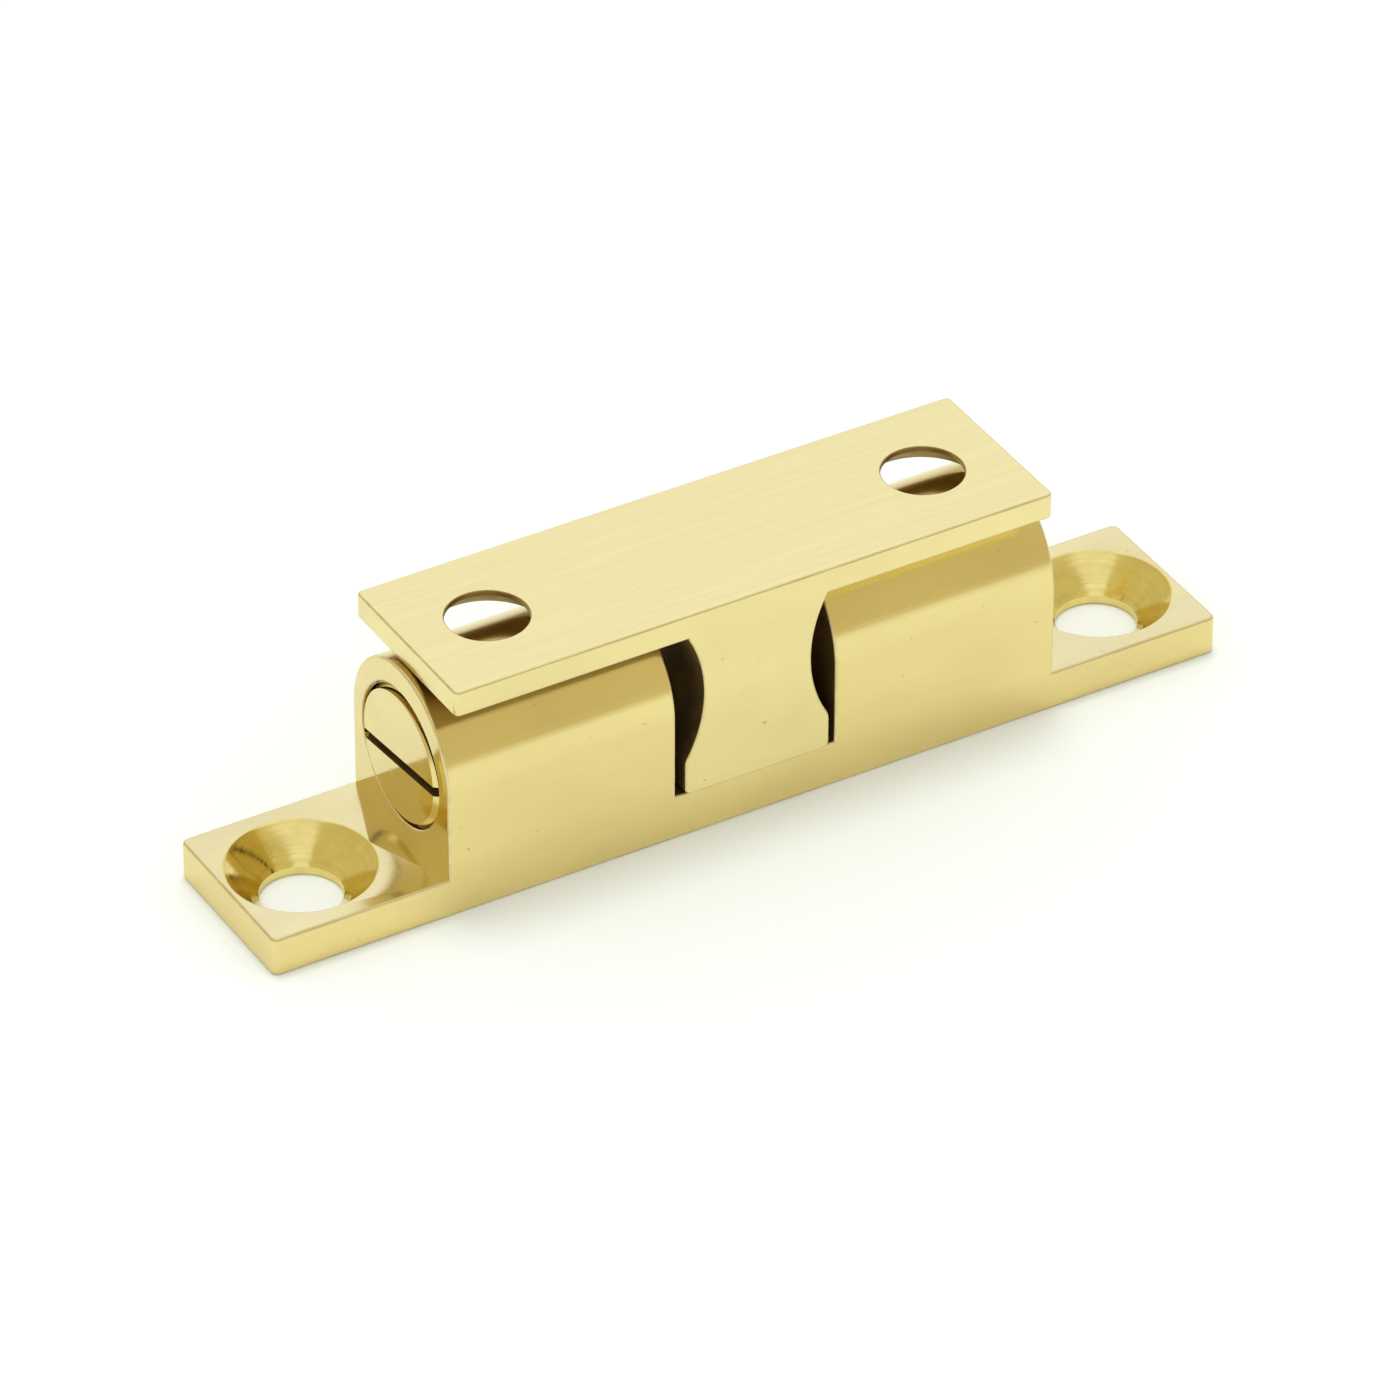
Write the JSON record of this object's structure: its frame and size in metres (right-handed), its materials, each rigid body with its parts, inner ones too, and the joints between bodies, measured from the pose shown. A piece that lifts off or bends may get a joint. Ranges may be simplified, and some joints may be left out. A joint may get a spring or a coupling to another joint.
{
  "type": "double ball catch",
  "caption": "Brass ball catch for a cupboard door: a bar with countersunk feet holds sprung balls either side of a slot, and a striker's waisted tongue snaps between them.",
  "frame": {"origin": "centre of the body's mounting face", "axes": "+X along the catch, +Y across it, +Z from the mounting face towards the striker"},
  "size_m": [0.05, 0.0092, 0.0123],
  "materials": {
    "body_brass": "satin, milled, polished at the ends",
    "striker_brass": "brushed along its length",
    "screw_brass": "turned",
    "ball_steel": "polished",
    "spring_steel": "drawn wire"
  },
  "bodies": {
    "catch_body": {"body": "body_brass"},
    "striker": {"striker": "striker_brass"},
    "left_ball": {"left_ball": "ball_steel"},
    "right_ball": {"right_ball": "ball_steel"},
    "left_spring": {"left_spring": "spring_steel"},
    "right_spring": {"right_spring": "spring_steel"},
    "left_adjusting_screw": {"left_adjusting_screw": "screw_brass"},
    "right_adjusting_screw": {"right_adjusting_screw": "screw_brass"}
  },
  "joints": [
    {"name": "striker_lift", "type": "slide", "parent": "catch_body", "child": "striker", "axis": [0, 0, 1], "range_m": [0, 0.04]},
    {"name": "left_ball_press", "type": "slide", "parent": "catch_body", "child": "left_ball", "axis": [-1, 0, 0], "range_m": [0, 0.001], "stiffness_N_per_m": 2100, "deforming": ["left_spring"]},
    {"name": "right_ball_press", "type": "slide", "parent": "catch_body", "child": "right_ball", "axis": [1, 0, 0], "range_m": [0, 0.001], "stiffness_N_per_m": 2100, "deforming": ["right_spring"]},
    {"name": "left_screw_advance", "type": "slide", "parent": "catch_body", "child": "left_spring", "axis": [1, 0, 0], "range_m": [0, 0.00075]},
    {"name": "left_screw_turn", "type": "hinge", "parent": "left_spring", "child": "left_adjusting_screw", "pos_m": [-0.0145, 0, 0.0062], "axis": [1, 0, 0], "range_deg": [0, 360]},
    {"name": "right_screw_advance", "type": "slide", "parent": "catch_body", "child": "right_spring", "axis": [-1, 0, 0], "range_m": [0, 0.00075]},
    {"name": "right_screw_turn", "type": "hinge", "parent": "right_spring", "child": "right_adjusting_screw", "pos_m": [0.0145, 0, 0.0062], "axis": [-1, 0, 0], "range_deg": [0, 360]}
  ],
  "couplings": [
    {"joint": "left_screw_turn", "follows": "left_screw_advance", "rad_per_m": 8377.6},
    {"joint": "right_screw_turn", "follows": "right_screw_advance", "rad_per_m": 8377.6}
  ]
}
